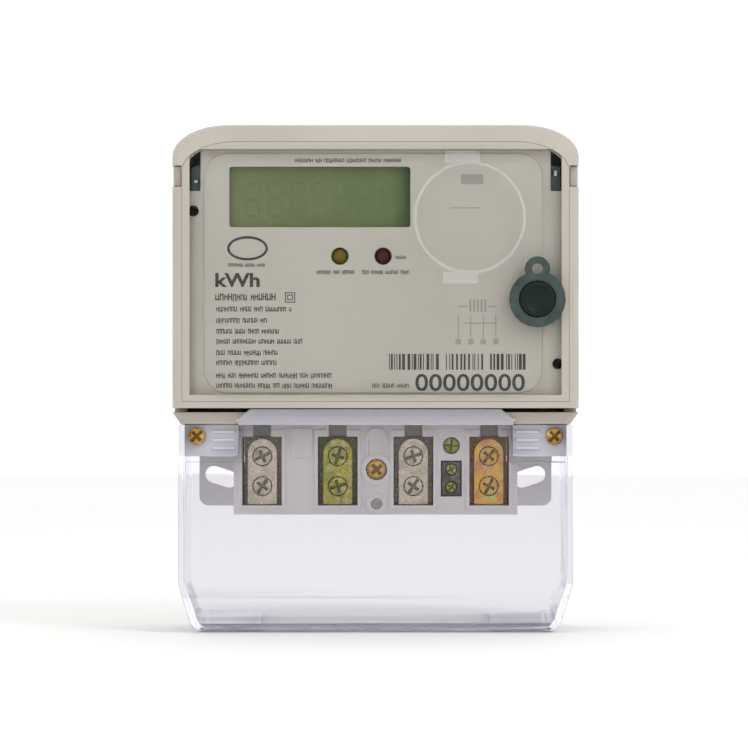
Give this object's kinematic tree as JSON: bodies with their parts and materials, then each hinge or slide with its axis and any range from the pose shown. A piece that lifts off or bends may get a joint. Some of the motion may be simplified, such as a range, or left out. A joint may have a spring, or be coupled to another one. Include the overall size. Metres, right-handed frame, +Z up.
{
  "type": "single-phase electricity meter",
  "caption": "Wall-mounted single-phase electricity meter: clear-covered face with display, lamps, reading port and button above a long clear terminal cover.",
  "frame": {"origin": "middle of the overall height and width, on the flat back that lies against the wall", "axes": "+Y into the wall, +Z up, +X to the right as seen from the front"},
  "size_m": [0.13, 0.059, 0.1624],
  "materials": {
    "case_plastic": "fine moulded texture, warm pale grey",
    "panel_plastic": "satin, greige",
    "nameplate_film": "satin film with black print",
    "block_plastic": "satin cream",
    "clear_plastic": "clear, glossy, faintly blue",
    "white_plastic": "satin white",
    "display_glass": "grey green, glossy",
    "lamp_yellow": "clear tinted lens",
    "lamp_red": "clear tinted lens",
    "smoked_lens": "dark clear lens",
    "button_green": "satin dark green",
    "gasket_rubber": "dull",
    "relay_black": "satin black",
    "circuit_board": "solder resist, blue green",
    "coil_tape": "wound tape",
    "capacitor_yellow": "moulded box",
    "epoxy_blue": "dipped epoxy",
    "battery_green": "heat shrunk sleeve",
    "copper": "drawn copper bar",
    "resistance_alloy": "welded copper and resistance alloy",
    "core_steel": "stacked laminations",
    "plated_steel": "zinc plated",
    "spring_steel": "bright wire",
    "black_steel": "black oxide",
    "nickel_plate": "nickel plated, dulled",
    "yellow_passivate": "yellow green passivated zinc",
    "orange_passivate": "iridescent passivated zinc",
    "brass": "turned brass"
  },
  "bodies": {
    "case": {"base_housing": "case_plastic", "cover_gasket": "gasket_rubber", "line_in_strap": "copper", "line_out_strap": "copper", "shunt_sensor": "resistance_alloy", "neutral_link": "copper", "current_transformer": "epoxy_blue", "latching_relay": "relay_black", "main_board": "circuit_board", "lcd_frame": "white_plastic", "lcd_backlight": "white_plastic", "lcd_glass": "display_glass", "led_yellow": "lamp_yellow", "led_red": "lamp_red", "infrared_led": "smoked_lens", "infrared_receiver": "smoked_lens", "magnet_plate": "plated_steel", "tact_switch": "relay_black", "transformer_core": "core_steel", "transformer_coil": "coil_tape", "supply_capacitor": "capacitor_yellow", "varistor": "epoxy_blue", "backup_battery": "battery_green", "face_panel": "panel_plastic", "nameplate": "nameplate_film", "panel_screw_left": "black_steel", "panel_screw_right": "black_steel", "terminal_block": "block_plastic", "terminal_clamp_1": "nickel_plate", "terminal_clamp_2": "yellow_passivate", "terminal_clamp_3": "nickel_plate", "terminal_clamp_4": "orange_passivate", "auxiliary_clamp": "nickel_plate", "auxiliary_screw_3": "yellow_passivate", "terminal_block_screw": "orange_passivate"},
    "main_cover": {"main_cover": "case_plastic", "cover_window": "clear_plastic", "button_bezel": "clear_plastic", "button_spring": "spring_steel"},
    "push_button": {"push_button": "button_green"},
    "terminal_cover": {"terminal_cover": "clear_plastic"},
    "sealing_screw_left": {"sealing_screw_left": "brass"},
    "sealing_screw_right": {"sealing_screw_right": "brass"},
    "hanging_hook": {"hanging_hook": "plated_steel"},
    "auxiliary_screw_1": {"auxiliary_screw_1": "yellow_passivate"},
    "auxiliary_screw_2": {"auxiliary_screw_2": "yellow_passivate"},
    "terminal_screw_1a": {"terminal_screw_1a": "nickel_plate"},
    "terminal_screw_1b": {"terminal_screw_1b": "nickel_plate"},
    "terminal_screw_2a": {"terminal_screw_2a": "yellow_passivate"},
    "terminal_screw_2b": {"terminal_screw_2b": "yellow_passivate"},
    "terminal_screw_3a": {"terminal_screw_3a": "nickel_plate"},
    "terminal_screw_3b": {"terminal_screw_3b": "nickel_plate"},
    "terminal_screw_4a": {"terminal_screw_4a": "orange_passivate"},
    "terminal_screw_4b": {"terminal_screw_4b": "orange_passivate"}
  },
  "joints": [
    {"name": "main_cover_lift_off", "type": "slide", "parent": "case", "child": "main_cover", "axis": [0, -1, 0], "range_m": [0, 0.06]},
    {"name": "push_button_press", "type": "slide", "parent": "main_cover", "child": "push_button", "axis": [0, 1, 0], "range_m": [0, 0.0015], "stiffness_N_per_m": 800, "springref_m": -0.001, "deforming": ["button_spring"]},
    {"name": "terminal_cover_lift_off", "type": "slide", "parent": "case", "child": "terminal_cover", "axis": [0, -1, 0], "range_m": [0, 0.07]},
    {"name": "sealing_screw_left_back_out", "type": "slide", "parent": "terminal_cover", "child": "sealing_screw_left", "axis": [0, -1, 0], "range_m": [0, 0.008]},
    {"name": "sealing_screw_right_back_out", "type": "slide", "parent": "terminal_cover", "child": "sealing_screw_right", "axis": [0, -1, 0], "range_m": [0, 0.008]},
    {"name": "hanging_hook_slide", "type": "slide", "parent": "case", "child": "hanging_hook", "axis": [0, 0, 1], "range_m": [0, 0.014]},
    {"name": "terminal_screw_1a_drive", "type": "slide", "parent": "case", "child": "terminal_screw_1a", "axis": [0, 1, 0], "range_m": [0, 0.005]},
    {"name": "terminal_screw_1b_drive", "type": "slide", "parent": "case", "child": "terminal_screw_1b", "axis": [0, 1, 0], "range_m": [0, 0.005]},
    {"name": "terminal_screw_2a_drive", "type": "slide", "parent": "case", "child": "terminal_screw_2a", "axis": [0, 1, 0], "range_m": [0, 0.005]},
    {"name": "terminal_screw_2b_drive", "type": "slide", "parent": "case", "child": "terminal_screw_2b", "axis": [0, 1, 0], "range_m": [0, 0.005]},
    {"name": "terminal_screw_3a_drive", "type": "slide", "parent": "case", "child": "terminal_screw_3a", "axis": [0, 1, 0], "range_m": [0, 0.005]},
    {"name": "terminal_screw_3b_drive", "type": "slide", "parent": "case", "child": "terminal_screw_3b", "axis": [0, 1, 0], "range_m": [0, 0.005]},
    {"name": "terminal_screw_4a_drive", "type": "slide", "parent": "case", "child": "terminal_screw_4a", "axis": [0, 1, 0], "range_m": [0, 0.005]},
    {"name": "terminal_screw_4b_drive", "type": "slide", "parent": "case", "child": "terminal_screw_4b", "axis": [0, 1, 0], "range_m": [0, 0.005]},
    {"name": "auxiliary_screw_1_drive", "type": "slide", "parent": "case", "child": "auxiliary_screw_1", "axis": [0, 1, 0], "range_m": [0, 0.001]},
    {"name": "auxiliary_screw_2_drive", "type": "slide", "parent": "case", "child": "auxiliary_screw_2", "axis": [0, 1, 0], "range_m": [0, 0.001]}
  ]
}
